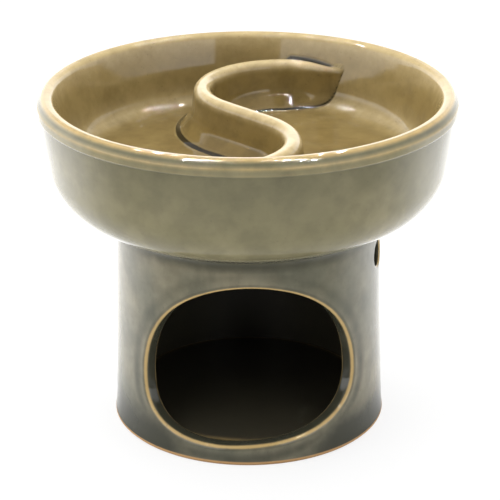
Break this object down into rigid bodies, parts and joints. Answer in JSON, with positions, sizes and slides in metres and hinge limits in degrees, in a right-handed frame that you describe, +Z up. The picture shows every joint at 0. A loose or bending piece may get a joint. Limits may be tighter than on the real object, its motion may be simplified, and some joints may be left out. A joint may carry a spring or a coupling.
{
  "type": "essential oil burner",
  "caption": "Glazed stoneware oil burner: a shallow lipped dish with an S-shaped divider on a round pedestal whose window takes a tealight.",
  "frame": {"origin": "middle of the foot, on the surface that the burner stands on", "axes": "+Z up through the middle of the dish, the candle window faces -Y, +X to the right of someone facing the window"},
  "size_m": [0.12, 0.12, 0.0996],
  "materials": {
    "grey_olive_glaze": "glossy grey-olive stoneware glaze, bare tan clay at the foot",
    "dark_glaze": "thick dark olive glaze",
    "olive_glaze": "glossy olive stoneware glaze that breaks to golden tan on edges",
    "golden_olive_glaze": "glossy golden-olive glaze, pale on the crest and dark where it pools"
  },
  "bodies": {
    "root": {"pedestal_wall": "grey_olive_glaze", "chamber_floor": "dark_glaze", "dish": "olive_glaze", "divider": "golden_olive_glaze"}
  },
  "joints": []
}
